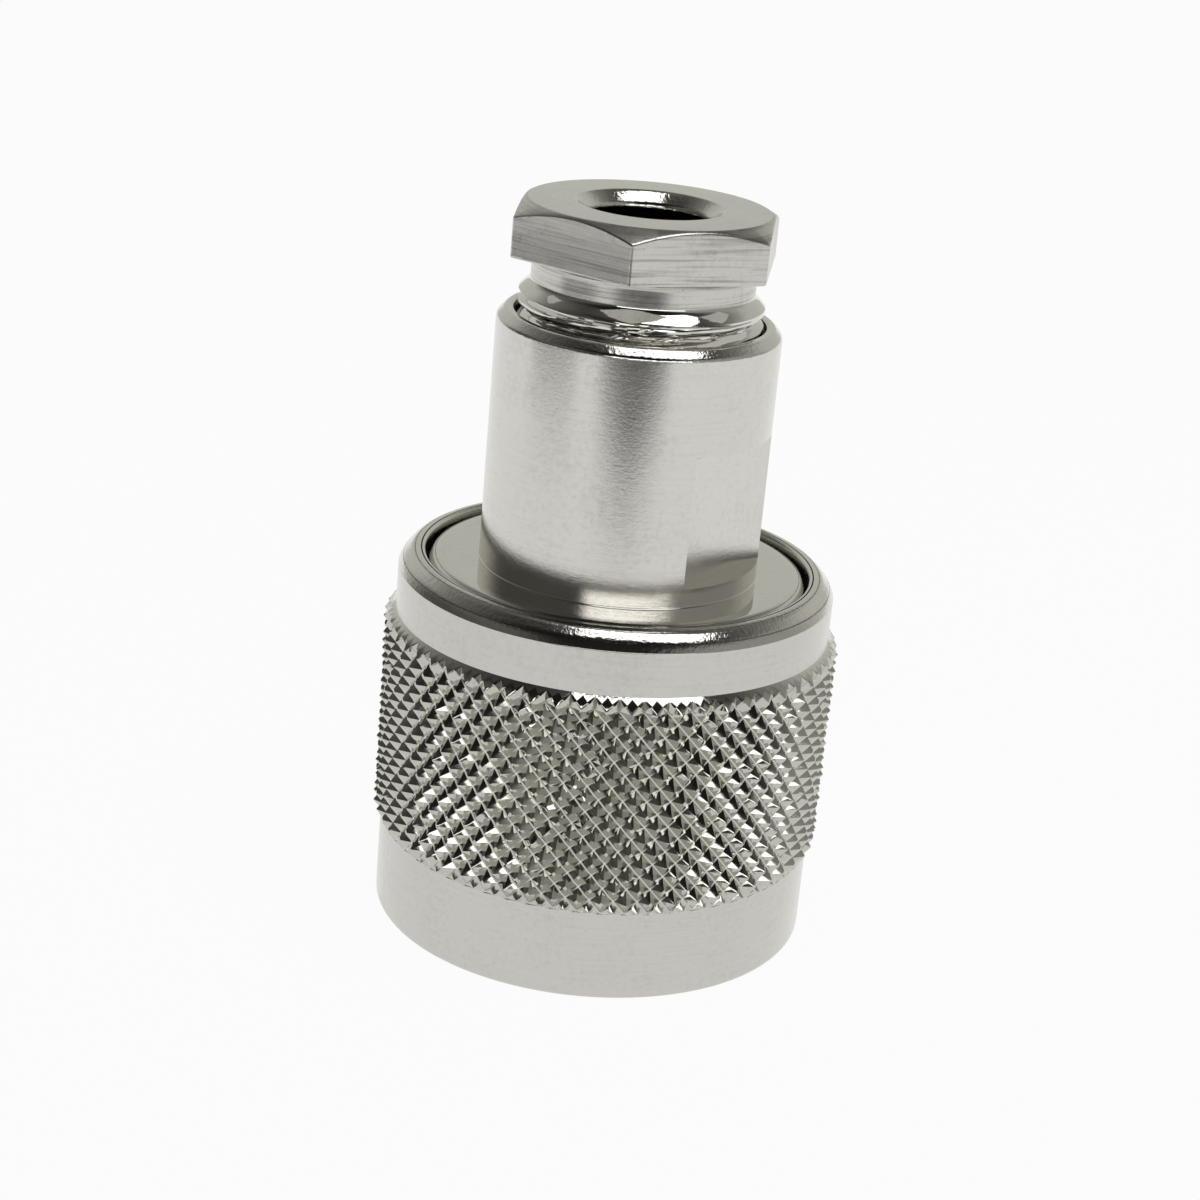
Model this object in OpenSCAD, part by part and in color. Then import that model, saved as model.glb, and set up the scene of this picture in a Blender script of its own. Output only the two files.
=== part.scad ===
// N type coaxial plug, solder and clamp pattern for 5 mm cable.
// The plug stands on the front face of its coupling nut, with the cable entry
// at the top. Z = 0 is the front face of the coupling nut, on the plug's axis,
// and +Z runs towards the cable. All sizes are in millimetres.

/* [Coupling nut] */
// Wall of the nut round the flange, at the plain band behind the knurl
nut_wall = 1.2; // [1:0.05:1.5]
// How far the knurl's crests stand out from that band
knurl_rise = 0.55; // [0.4:0.05:0.8]
// How far the plain band in front of the knurl stands out from the one behind
front_band_step = 0.15; // [0:0.05:0.25]
// Radial depth of the knurl, from crest to groove
knurl_depth = 0.52; // [0.3:0.02:0.7]
// Number of grooves of each hand round the nut
knurl_n = 60; // [40:1:64]
// Height of one diamond of the knurl
diamond_h = 1.2; // [1.1:0.05:2]
// Length of the nut from its front face to its rear rim
nut_len = 17.25; // [16.5:0.25:20]
// Height of the plain band in front of the knurl
front_band_h = 4.25; // [3:0.25:5]
// Height of the plain band behind the knurl
rear_band_h = 2.8; // [2:0.1:4]
// Radius of the round on the rear rim's outer edge
rim_round = 0.8; // [0.4:0.05:0.8]
// Chamfer on the front face's outer edge
nut_chamfer = 0.25; // [0.1:0.05:0.6]
// Bore at the coupling thread (5/8-24 UNEF, plain at its crests)
thread_bore_d = 14.9; // [14.7:0.05:15.1]
// Bore of the lead-in and of the relief behind the thread
thread_relief_d = 16.1; // [15.9:0.05:16.5]
// Depth of the lead-in ahead of the thread
lead_in_h = 0.9; // [0.5:0.1:1.5]
// Distance from the last thread to the sealing ring
thread_runout = 0.7; // [0.3:0.1:1.2]

/* [Body] */
// Diameter of the flange that the nut turns on
flange_d = 17.2; // [17:0.05:17.4]
// Thickness of that flange
flange_h = 4.7; // [4.2:0.1:5.2]
// Radius of the round on the flange's rear edge
flange_round = 0.35; // [0.1:0.05:0.4]
// How far the flange lies inside the nut's rear rim
flange_recess = 0.15; // [0.05:0.05:0.5]
// Diameter of the neck in front of the flange
neck_d = 14.6; // [13.6:0.1:15]
// Length of the neck, up to the seat of the sealing ring
neck_h = 2.1; // [1.8:0.1:2.4]
// Diameter of the rear barrel
barrel_d = 12.67; // [12.5:0.05:13]
// Length of the barrel behind the flange
barrel_len = 11.5; // [11.3:0.1:13]
// Radius of the round on the barrel's rear edge
barrel_round = 0.42; // [0.2:0.02:0.44]
// Distance across the two wrench flats on the barrel
flats_af = 11.0; // [10.8:0.1:12]
// Height of the round ledge left between flange and flats
flats_ledge = 0.85; // [0.4:0.05:1.2]
// Height of the wrench flats
flats_h = 5.95; // [4:0.05:6]
// Length of the bore that holds the outer contact
contact_hold = 2.7; // [2.2:0.1:3.2]
// Bore of the clamping chamber
chamber_d = 9.4; // [9.2:0.05:9.6]
// Depth of the rear thread for the clamp nut
rear_thread_h = 4.3; // [4.2:0.1:4.4]
// Chamfer at the mouth of the rear thread
mouth_chamfer = 0.2; // [0.1:0.05:0.25]

/* [Retaining ring] */
// Thickness of the ring along the axis
ring_h = 1.0; // [0.7:0.05:1.2]
// Radial width of the ring
ring_w = 0.95; // [0.8:0.05:1]
// Depth of the ring's groove in the nut
nut_groove = 0.45; // [0.35:0.05:0.5]
// Opening of the ring, as an angle
ring_gap = 14; // [6:1:30]
// Height of the ring's groove above the front of the flange
ring_rise = 1.6; // [1.2:0.1:2.2]

/* [Contacts] */
// Outer diameter of the slotted outer contact
outer_contact_d = 8.1; // [8:0.02:8.2]
// Bore of the outer contact
outer_contact_bore = 7.0; // [6.9:0.02:7.1]
// Extra diameter of the bead at its tip
bead = 0.16; // [0.04:0.02:0.2]
// How far the outer contact lies inside the nut's front face
contact_recess = 0.9; // [0.5:0.1:1.5]
// Number of spring fingers
finger_n = 6; // [4:1:8]
// Width of the slot between two fingers
slot_w = 0.45; // [0.3:0.05:0.6]
// Length of the fingers
slot_len = 6.6; // [5:0.1:7.2]
// Diameter of the centre pin
pin_d = 1.65; // [1.6:0.01:1.68]
// How far the pin's tip lies behind the outer contact's tip
pin_recess = 0.6; // [0.3:0.1:1]
// Length of the pin ahead of its shoulder
pin_len = 4.7; // [4.3:0.1:5]
// Diameter of the centre conductor behind the pin
conductor_d = 3.04; // [2.9:0.02:3.2]
// Diameter of the collar that holds the contact in its insulator
collar_d = 4.0; // [3.6:0.1:4.4]
// Thickness of that collar
collar_h = 1.1; // [0.8:0.1:1.2]
// Diameter of the solder tail
tail_d = 2.5; // [2.2:0.1:2.8]
// Length of the solder tail behind the collar
tail_len = 2.2; // [1.8:0.1:2.6]
// Bore of the solder pocket
pocket_d = 1.0; // [0.9:0.05:1.1]

/* [Insulators and seal] */
// Length of the front insulator inside the outer contact
plug_len = 4.4; // [3.6:0.1:5]
// Thickness of the front insulator's flange
front_flange_h = 1.0; // [0.8:0.1:1.2]
// Thickness of the rear insulator
rear_disc_h = 1.0; // [0.8:0.1:1.4]
// Thickness of the flange at the outer contact's rear end
contact_flange_h = 0.6; // [0.4:0.1:0.8]
// Thickness of the sealing ring
seal_h = 1.4; // [1:0.1:1.8]
// Outer diameter of the sealing ring
seal_d = 14.0; // [13:0.1:14.2]

/* [Cable clamp] */
// Length of the braid clamp, without its sharp ridge
clamp_len = 3.8; // [3.4:0.1:4.2]
// Bore of the braid clamp, over the cable's dielectric
clamp_bore = 3.7; // [3.5:0.1:4]
// Height of the ridge that bites into the gasket
ridge_h = 0.6; // [0.4:0.05:0.8]
// Free length of the rubber gasket
gasket_len = 5.4; // [5.2:0.1:5.6]
// Bore of the rubber gasket
gasket_bore = 5.0; // [4.8:0.1:5.1]
// Thickness of the slip washer
washer_h = 0.6; // [0.5:0.05:0.8]
// Bore of the slip washer
washer_bore = 6.0; // [5.8:0.1:6.2]

/* [Clamp nut] */
// Distance across the flats of the hexagon
hex_af = 11.0; // [10.8:0.1:12]
// Height of the hexagon
hex_h = 2.35; // [1.8:0.05:3]
// Angle of the hexagon about the axis as it stands
hex_turn = -3; // [-30:1:30]
// Diameter of the flat top inside the hexagon's 30 degree chamfer
hex_face_d = 10.7; // [10:0.1:10.8]
// Bore for the cable
cable_bore = 5.4; // [5.2:0.1:5.6]
// Radius of the round at the bore's mouth
bore_round = 0.5; // [0.2:0.05:0.6]
// Outer diameter of the nut's thread (M11 x 0.75, plain at its crests)
nut_thread_d = 10.94; // [10.8:0.02:11]
// Length of the nut's thread
nut_thread_len = 2.75; // [2.4:0.05:2.9]
// Length of the neck that shows between thread and hexagon
relief_len = 1.7; // [1.5:0.1:2.2]
// Diameter of that neck
relief_d = 9.9; // [9.6:0.1:10.2]
// Diameter of the nose that presses on the slip washer
nose_d = 9.2; // [9:0.05:9.3]
// Length of that nose
nose_len = 1.25; // [1.1:0.05:1.4]

/* [Fits] */
// Radial gap between the flange and the nut that turns on it
turning_gap = 0.15; // [0.1:0.01:0.2]
// Axial gap between faces that turn on each other
face_gap = 0.1; // [0.05:0.01:0.15]
// Radial gap of the parts that slide into the body
slide_gap = 0.05; // [0.03:0.01:0.07]
// Radial gap between the clamp nut's thread and the body's
thread_gap = 0.08; // [0.04:0.01:0.1]
// Radial gap of pressed and captive parts
snug_gap = 0.03; // [0.02:0.01:0.05]

/* [Hidden] */
$fn = 96;
eps = 0.02;

// heights along the axis, from the coupling nut's front face
flange_top = nut_len - flange_recess;
flange_front = flange_top - flange_h;
seat_z = flange_front - neck_h;
thread_end = seat_z - seal_h - thread_runout;
shoulder_z = flange_front - 3 * face_gap;
groove_z = flange_front + ring_rise;
ring_z = groove_z + face_gap;
groove_h = ring_h + 2 * face_gap;
barrel_top = flange_top + barrel_len;
flats_z = flange_top + flats_ledge;
thread_floor = barrel_top - rear_thread_h;
chamber_floor = seat_z + contact_hold;

contact_tip = contact_recess;
pin_tip = contact_tip + pin_recess;
pin_shoulder = pin_tip + pin_len;
insulator_step = chamber_floor + contact_flange_h;
insulator_front = insulator_step - plug_len;
insulator_back = insulator_step + front_flange_h;
clamp_front = insulator_back + rear_disc_h;
gasket_front = clamp_front + clamp_len;
washer_front = gasket_front + gasket_len;
nose_front = washer_front + washer_h + face_gap / 2;
nut_thread_front = nose_front + nose_len;
nut_thread_back = nut_thread_front + nut_thread_len;
hex_under = nut_thread_back + relief_len;
hex_top = hex_under + hex_h;

// radii
nut_bore_r = flange_d / 2 + turning_gap;
rear_band_r = nut_bore_r + nut_wall;
front_band_r = rear_band_r + front_band_step;
knurl_r = rear_band_r + knurl_rise;
groove_r = knurl_r - knurl_depth;
nut_groove_r = nut_bore_r + nut_groove;
ring_or = nut_groove_r - snug_gap;
ring_ir = ring_or - ring_w;
flange_groove_r = nut_bore_r - ring_w - snug_gap;
chamber_r = chamber_d / 2;
inner_r = chamber_r - slide_gap;
contact_r = outer_contact_d / 2;
sleeve_bore_r = outer_contact_bore / 2;
rear_thread_r = nut_thread_d / 2 + thread_gap;
hex_corner_d = hex_af / cos(30);

// knurl lattice: rows of half diamonds, filling the band between the plain bands
knurl_h = nut_len - front_band_h - rear_band_h;
knurl_rows = max(2, round(knurl_h / (diamond_h / 2)));
edge_lift = 0.04;

// A rectangle in the half plane of a revolve, from radius a to b and height c to d
module band(a, b, c, d) translate([a, c]) square([b - a, d - c]);

// What a round of radius f removes at the corner (x, y) of a profile whose
// material lies towards -qx, -qy. Added instead of removed, it is a fillet.
module corner(x, y, f, qx, qy) {
  difference() {
    translate([qx > 0 ? x - f : x - eps, qy > 0 ? y - f : y - eps])
      square([f + eps, f + eps]);
    translate([x - qx * f, y - qy * f]) circle(r = f, $fn = 48);
  }
}

// The same for a 45 degree chamfer
module bevel(x, y, f, qx, qy) {
  polygon([[x + qx * eps, y + qy * eps], [x - qx * f, y + qy * eps], [x - qx * f, y],
           [x, y - qy * f], [x + qx * eps, y - qy * f]]);
}

// Diamond knurl: two crossing families of grooves leave pyramids whose tips and
// groove crossings alternate along every row; the end rows run out to the bands
module knurl_ring(rows, count, front_r, rear_r) {
  n2 = 2 * count;
  function radius(c, j) =
    j == 0 ? front_r : j == rows ? rear_r : (c + j) % 2 == 0 ? groove_r : knurl_r;
  points = [for (j = [0:rows], c = [0:n2 - 1])
    let (a = 180 / count * c, r = radius(c, j))
      [r * cos(a), r * sin(a), front_band_h + knurl_h * j / rows]];
  sides = [for (j = [0:rows - 1], c = [0:n2 - 1])
    let (a = j * n2 + c, b = j * n2 + (c + 1) % n2, d = a + n2, e = b + n2)
      each (c + j) % 2 == 0 ? [[a, e, b], [a, d, e]] : [[a, d, b], [b, d, e]]];
  front = [for (c = [0:n2 - 1]) c];
  rear = [for (c = [0:n2 - 1]) rows * n2 + n2 - 1 - c];
  polyhedron(points, concat([front, rear], sides), convexity = 4);
}

module coupling_nut() {
  color([0.78, 0.77, 0.74])
  difference() {
    union() {
      knurl_ring(knurl_rows, knurl_n, front_band_r + edge_lift, rear_band_r + edge_lift);
      rotate_extrude() difference() {
        union() {
          band(0, front_band_r, 0, front_band_h);
          band(0, groove_r - 0.2, front_band_h - eps, nut_len - rear_band_h + eps);
          band(0, rear_band_r, nut_len - rear_band_h, nut_len);
        }
        bevel(front_band_r, 0, nut_chamfer, 1, -1);
        corner(rear_band_r, nut_len, rim_round, 1, 1);
      }
    }
    rotate_extrude() union() {
      // lead-in, thread, relief, turning bore, ring groove and rear mouth
      band(0, thread_relief_d / 2, -1, lead_in_h);
      bevel(thread_relief_d / 2, 0, nut_chamfer, -1, -1);
      band(0, thread_bore_d / 2, lead_in_h - eps, thread_end + eps);
      bevel(thread_bore_d / 2, lead_in_h, (thread_relief_d - thread_bore_d) / 3, -1, -1);
      band(0, thread_relief_d / 2, thread_end, shoulder_z + eps);
      band(0, nut_bore_r, shoulder_z, nut_len + 1);
      band(0, nut_groove_r, groove_z, groove_z + groove_h);
      bevel(nut_bore_r, nut_len, turning_gap, -1, 1);
    }
  }
}

// Split ring that ties the nut to the flange and lets it turn
module retaining_ring() {
  color([0.62, 0.55, 0.38])
  rotate([0, 0, ring_gap / 2])
  rotate_extrude(angle = 360 - ring_gap)
    band(ring_ir, ring_or, ring_z, ring_z + ring_h);
}

// Silicone ring that seals against the mating connector's rim
module interface_seal() {
  edge = seal_h * 0.2;
  color([0.80, 0.32, 0.24])
  rotate_extrude() difference() {
    band(contact_r + 4 * slide_gap, seal_d / 2, seat_z - seal_h, seat_z);
    corner(seal_d / 2, seat_z - seal_h, edge, 1, -1);
    corner(contact_r + 4 * slide_gap, seat_z - seal_h, edge, -1, -1);
  }
}

module body() {
  color([0.80, 0.79, 0.76])
  difference() {
    rotate_extrude() difference() {
      union() {
        band(0, neck_d / 2, seat_z, flange_front + eps);
        band(0, flange_d / 2, flange_front, flange_top);
        band(0, barrel_d / 2, flange_top - eps, barrel_top);
      }
      bevel(neck_d / 2, seat_z, nut_chamfer, 1, -1);
      bevel(flange_d / 2, flange_front, nut_chamfer, 1, -1);
      corner(flange_d / 2, flange_top, flange_round, 1, 1);
      band(flange_groove_r, flange_d / 2 + 1, groove_z, groove_z + groove_h);
      corner(barrel_d / 2, barrel_top, barrel_round, 1, 1);
      // stepped bore: outer contact's seat, clamping chamber, rear thread, mouth
      band(-1, contact_r + snug_gap, seat_z - 1, chamber_floor + eps);
      band(-1, chamber_r, chamber_floor, thread_floor + eps);
      band(-1, rear_thread_r, thread_floor, barrel_top + 1);
      bevel(rear_thread_r, barrel_top, mouth_chamfer, -1, 1);
    }
    // wrench flats, square to X
    for (side = [-1, 1])
      translate([side > 0 ? flats_af / 2 : -flats_af / 2 - barrel_d, -barrel_d, flats_z])
        cube([barrel_d, 2 * barrel_d, flats_h]);
  }
}

// Slotted spring sleeve with a bead at its tip and a flange in the body
module outer_contact() {
  tip_r = contact_r + bead / 2;
  bead_h = 1.4;
  lip = 0.2;
  color([0.85, 0.84, 0.80])
  difference() {
    rotate_extrude() difference() {
      union() {
        band(sleeve_bore_r, contact_r, contact_tip, chamber_floor + eps);
        band(sleeve_bore_r, tip_r, contact_tip, contact_tip + bead_h);
        band(sleeve_bore_r, inner_r, chamber_floor, insulator_step);
      }
      corner(tip_r, contact_tip, lip, 1, -1);
      bevel(tip_r, contact_tip + bead_h, bead / 2, 1, 1);
      bevel(sleeve_bore_r, contact_tip, lip / 2, -1, -1);
    }
    for (i = [0:finger_n - 1]) rotate([0, 0, i * 360 / finger_n])
      translate([0, -slot_w / 2, contact_tip - 1])
        cube([contact_r + 1, slot_w, slot_len + 1]);
  }
}

module front_insulator() {
  color([0.96, 0.96, 0.94])
  rotate_extrude() difference() {
    union() {
      band(conductor_d / 2 + snug_gap, sleeve_bore_r - snug_gap,
           insulator_front, insulator_step + eps);
      band(conductor_d / 2 + snug_gap, inner_r, insulator_step, insulator_back);
    }
    band(0, collar_d / 2 + snug_gap, insulator_back - collar_h, insulator_back + 1);
  }
}

module rear_insulator() {
  color([0.95, 0.95, 0.93])
  rotate_extrude()
    band(tail_d / 2 + snug_gap, inner_r, insulator_back, clamp_front);
}

// Gold plated pin with its captive collar and solder pocket
module centre_contact() {
  collar_front = insulator_back - collar_h;
  tail_end = insulator_back + tail_len;
  tip = pin_d * 0.3;
  color([0.86, 0.68, 0.30])
  difference() {
    rotate_extrude() difference() {
      union() {
        band(0, pin_d / 2, pin_tip, pin_shoulder + eps);
        band(0, conductor_d / 2, pin_shoulder, collar_front + eps);
        band(0, collar_d / 2, collar_front, insulator_back);
        band(0, tail_d / 2, insulator_back - eps, tail_end);
      }
      corner(pin_d / 2, pin_tip, tip, 1, -1);
      bevel(conductor_d / 2, pin_shoulder, 0.15, 1, -1);
      bevel(tail_d / 2, tail_end, 0.15, 1, 1);
      band(-1, pocket_d / 2, collar_front, tail_end + 1);
    }
    // solder hole into the pocket
    translate([0, 0, insulator_back + rear_disc_h + (tail_len - rear_disc_h) / 2])
      rotate([0, 90, 0]) cylinder(d = pocket_d * 0.6, h = tail_d);
  }
}

// Metal cone that spreads the braid, with a sharp ridge towards the gasket
module braid_clamp() {
  nose_r = clamp_bore / 2 + 0.5;
  cone_h = clamp_len * 0.5;
  color([0.74, 0.73, 0.70])
  rotate_extrude() difference() {
    union() {
      polygon([[clamp_bore / 2, clamp_front], [nose_r, clamp_front],
               [inner_r, clamp_front + cone_h], [inner_r, gasket_front],
               [clamp_bore / 2, gasket_front]]);
      ridge(ridge_h, 0);
    }
  }
}

// Profile of the ridge, and of the gasket's V groove with a gap all round
module ridge(h, gap) {
  mid = (gasket_bore / 2 + inner_r) / 2;
  polygon([[mid - h - gap, gasket_front - gap], [mid + h + gap, gasket_front - gap],
           [mid, gasket_front + h + gap]]);
}

// Rubber gasket, squeezed on the cable as the clamp nut is tightened
module clamp_gasket() {
  color([0.16, 0.16, 0.17])
  rotate_extrude() difference() {
    band(gasket_bore / 2, inner_r, gasket_front, washer_front);
    ridge(ridge_h, slide_gap);
    corner(gasket_bore / 2, washer_front, 0.3, -1, 1);
  }
}

module slip_washer() {
  color([0.78, 0.77, 0.73])
  translate([0, 0, washer_front]) difference() {
    cylinder(r = inner_r, h = washer_h);
    translate([0, 0, -1]) cylinder(d = washer_bore, h = washer_h + 2);
  }
}

// Hexagon with its 30 degree chamfer, on a threaded stem with a hollow neck
module clamp_nut() {
  thread_r = nut_thread_d / 2;
  neck_r = relief_d / 2;
  flare = thread_r - neck_r;
  cove = min(0.35, (hex_af - relief_d) / 2 - 0.1);
  face_r = hex_face_d / 2;
  color([0.80, 0.79, 0.75])
  difference() {
    union() {
      rotate_extrude() difference() {
        union() {
          band(0, nose_d / 2, nose_front, nut_thread_front + eps);
          band(0, thread_r, nut_thread_front, nut_thread_back);
          polygon([[0, nut_thread_back - eps], [thread_r, nut_thread_back - eps],
                   [thread_r, nut_thread_back], [neck_r, nut_thread_back + flare],
                   [0, nut_thread_back + flare]]);
          band(0, neck_r, nut_thread_back, hex_under + eps);
          corner(neck_r, hex_under, cove, -1, 1);
        }
        bevel(thread_r, nut_thread_front, (nut_thread_d - nose_d) / 3, 1, -1);
        bevel(nose_d / 2, nose_front, 0.15, 1, -1);
      }
      intersection() {
        translate([0, 0, hex_under]) rotate([0, 0, hex_turn])
          cylinder(d = hex_corner_d, h = hex_h, $fn = 6);
        rotate_extrude()
          polygon([[0, hex_top - 2 * hex_h], [face_r + 2 * hex_h / tan(30), hex_top - 2 * hex_h],
                   [face_r, hex_top], [0, hex_top]]);
      }
    }
    rotate_extrude() union() {
      band(0, cable_bore / 2, nose_front - 1, hex_top + 1);
      corner(cable_bore / 2, hex_top, bore_round, -1, 1);
      bevel(cable_bore / 2, nose_front, 0.2, -1, -1);
    }
  }
}

coupling_nut();
retaining_ring();
interface_seal();
body();
outer_contact();
front_insulator();
rear_insulator();
centre_contact();
braid_clamp();
clamp_gasket();
slip_washer();
clamp_nut();
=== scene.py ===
"""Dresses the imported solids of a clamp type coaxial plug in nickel, gold and rubber.

The turned parts are surfaces of revolution about Z, worked out in millimetres and
put into the shared frame in metres: Z is 0 at the coupling nut's front face and
grows towards the cable. The solids keep their places; the coupling nut, the body,
the clamp nut and the gasket get finer surfaces with knurl, threads and rounds.
"""

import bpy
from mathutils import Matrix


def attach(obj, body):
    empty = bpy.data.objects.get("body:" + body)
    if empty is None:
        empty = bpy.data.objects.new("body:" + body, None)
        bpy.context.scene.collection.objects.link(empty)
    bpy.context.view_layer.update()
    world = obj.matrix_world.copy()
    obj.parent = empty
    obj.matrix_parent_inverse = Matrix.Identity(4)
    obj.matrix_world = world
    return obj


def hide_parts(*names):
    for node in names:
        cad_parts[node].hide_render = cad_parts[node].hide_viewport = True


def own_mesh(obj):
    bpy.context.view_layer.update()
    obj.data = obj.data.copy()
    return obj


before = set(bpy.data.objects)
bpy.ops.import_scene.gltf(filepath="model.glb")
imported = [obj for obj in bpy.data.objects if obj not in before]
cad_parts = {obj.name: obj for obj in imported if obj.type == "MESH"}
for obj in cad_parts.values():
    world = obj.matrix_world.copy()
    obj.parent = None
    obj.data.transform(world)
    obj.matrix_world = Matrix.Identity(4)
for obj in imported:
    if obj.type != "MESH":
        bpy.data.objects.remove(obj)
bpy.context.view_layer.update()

import logging
import math
from dataclasses import dataclass, field
from enum import Enum
from typing import Callable, Sequence

import bpy
import numpy as np
from mathutils import Matrix, Vector

log = logging.getLogger("plug")
Array = np.ndarray
Material = bpy.types.Material
Object = bpy.types.Object
Socket = bpy.types.NodeSocket

MM = 0.001
# Heights in mm between which the retaining ring lies in its two grooves
RING_LOW, RING_HIGH = 14.0, 15.2
# Share of a side that a round may take; the next point's distance in mm, and its limit
ROUND_SHARE, HOLD, HOLD_SHARE = 0.48, 0.05, 0.2
# Features per metre of the patterns in plated metal
CLOUDS, STAINS, WAVES, SPECKS, GRAINS = 420, 3600, 6000, 7000, 11000
# The same in moulded parts, and how many metres light goes into them
MOTTLES, LINES, LIGHT_DEPTH = 300, 6000, 0.0006


class Slot(Enum):
    """Material slots of the record that the finishes stand for."""

    NICKEL = "nickel"
    SPRING_BRONZE = "spring_bronze"
    WHITE_BRONZE = "white_bronze"
    GOLD = "gold_plate"
    PTFE = "ptfe"
    SILICONE = "silicone"
    RUBBER = "black_rubber"


# ---- surfaces


def profile(corners: Sequence[tuple[float, float, float]], steps: int = 5) -> Array:
    """Turns a closed outline with corner rounds into points.

    Each corner is replaced by a quadratic curve that leaves the two sides at the
    round's tangent length, and every side gets a point just inside both of its
    ends, so that the shading of a flat side isn't bent by the rounds beside it.

    Args:
        corners: (radius, height, tangent length of the round) in mm, material on the left.
        steps: Segments in each round.

    Returns:
        Points (radius, height) of the outline, one row each.
    """
    data = np.asarray(corners, float)
    here, size = data[:, :2], data[:, 2]
    sides = [np.roll(here, step, axis=0) - here for step in (1, -1)]
    lengths = [np.linalg.norm(side, axis=1, keepdims=True) for side in sides]
    back, ahead = (side / length for side, length in zip(sides, lengths))
    shorter = np.minimum(*lengths)
    cut = np.minimum(size[:, None], ROUND_SHARE * shorter)
    start, end = here + back * cut, here + ahead * cut
    t = np.linspace(0, 1, steps + 1)[None, :, None]
    arc = (1 - t) ** 2 * start[:, None] + 2 * t * (1 - t) * here[:, None] + t**2 * end[:, None]
    hold = np.minimum(HOLD, HOLD_SHARE * shorter)
    lead, tail = (start + back * hold)[:, None], (end + ahead * hold)[:, None]
    line = np.concatenate([lead, arc, tail], axis=1).reshape(-1, 2)
    keep = np.linalg.norm(line - np.roll(line, 1, axis=0), axis=1) > 1e-6
    return line[keep]


def turned(radius: Array, height: Array, angle: Array) -> Array:
    """Points of a surface of revolution.

    Args:
        radius: Radius of each row, or of each row and column, in mm.
        height: Height of each row, or of each row and column, in mm.
        angle: Angle of each column, or of each row and column, in radians.

    Returns:
        Array of rows x columns x 3: (radius cos angle, radius sin angle, height).
    """
    radius, height, angle = np.broadcast_arrays(radius, height, angle)
    return np.stack([radius * np.cos(angle), radius * np.sin(angle), height], axis=-1)


def ring_quads(rows: int, columns: int, first: int = 0, closed: bool = True) -> Array:
    """Quads of a grid whose columns run round the axis.

    Args:
        rows: Number of rows.
        columns: Number of columns; the last joins the first.
        first: Index of the grid's first vertex.
        closed: Whether the last row joins the first.

    Returns:
        Vertex indices, one quad each, facing away from the material.
    """
    index = first + np.arange(rows * columns).reshape(rows, columns)
    below = index if closed else index[:-1]
    above = np.roll(index, -1, axis=0) if closed else index[1:]
    corners = [below, np.roll(below, -1, axis=1), np.roll(above, -1, axis=1), above]
    return np.stack(corners, axis=-1).reshape(-1, 4)


def mesh_piece(
    name: str, points: Array, faces: Sequence[Array], sharp: float = 32.0
) -> Object:
    """Makes a smooth shaded object whose edges over an angle stay sharp.

    Args:
        name: Name of the object.
        points: Vertices in mm, any shape that ends in 3.
        faces: Arrays of vertex indices, one face a row.
        sharp: Angle in degrees from which an edge is shaded sharp.

    Returns:
        The object, at the origin.
    """
    mesh = bpy.data.meshes.new(name)
    mesh.from_pydata(
        np.asarray(points, float).reshape(-1, 3) * MM,
        [],
        [face for block in faces for face in block.tolist()],
    )
    mesh.update(calc_edges=True)
    mesh.shade_smooth()
    mesh.set_sharp_from_angle(angle=math.radians(sharp))
    obj = bpy.data.objects.new(name, mesh)
    bpy.context.scene.collection.objects.link(obj)
    return obj


def thread_depth(height: Array, angle: Array, pitch: float, flat: float = 0.16) -> Array:
    """How far a right-handed thread has climbed from its root towards its crest.

    The phase is the height in pitches less the angle in turns. Its distance from
    the middle of the groove, cut off by flats at root and crest, is the depth.

    Args:
        height: Height in mm.
        angle: Angle in radians.
        pitch: Pitch in mm.
        flat: Share of the pitch's half that is flat at root and at crest.

    Returns:
        0 at the root and 1 at the crest.
    """
    phase = np.mod(height / pitch - angle / (2 * math.pi), 1.0)
    climb = np.abs(phase - 0.5) * 2
    return np.clip((climb - flat) / (1 - 2 * flat), 0.0, 1.0)


def smooth_step(value: Array, low: float, high: float) -> Array:
    """Rises from 0 at low to 1 at high, with level ends."""
    t = np.clip((value - low) / (high - low), 0.0, 1.0)
    return t * t * (3 - 2 * t)


# ---- finishes


class Nodes:
    """A node tree under construction: short names for its nodes."""

    def __init__(self, tree: bpy.types.NodeTree) -> None:
        """Starts with the nodes that the tree has."""
        self.tree = tree

    def add(self, kind: str, inputs: dict | None = None, **settings) -> bpy.types.Node:
        """Adds a node.

        Args:
            kind: Blender's type name of the node.
            inputs: Values or sockets for its inputs, by name or index.
            **settings: Attributes of the node.

        Returns:
            The new node.
        """
        node = self.tree.nodes.new(kind)
        for key, value in settings.items():
            setattr(node, key, value)
        for key, value in (inputs or {}).items():
            if isinstance(value, Socket):
                self.tree.links.new(value, node.inputs[key])
            else:
                node.inputs[key].default_value = value
        return node

    def math(self, operation: str, a: Socket, b: Socket | float = 0.0) -> Socket:
        """The result of one Math node."""
        return self.add("ShaderNodeMath", {0: a, 1: b}, operation=operation).outputs[0]

    def spread(
        self, value: Socket, low: float, high: float, out_low: float, out_high: float, **extra
    ) -> Socket:
        """Maps low..high to out_low..out_high, and holds the ends."""
        inputs = {0: value, 1: low, 2: high, 3: out_low, 4: out_high}
        return self.add("ShaderNodeMapRange", inputs, **extra).outputs[0]

    def blend(
        self, amount: Socket, a: Socket | Sequence[float], b: Socket | Sequence[float]
    ) -> Socket:
        """Mixes two colours by an amount."""
        node = self.add("ShaderNodeMix", {0: amount, 6: a, 7: b}, data_type="RGBA")
        return node.outputs[2]


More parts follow.
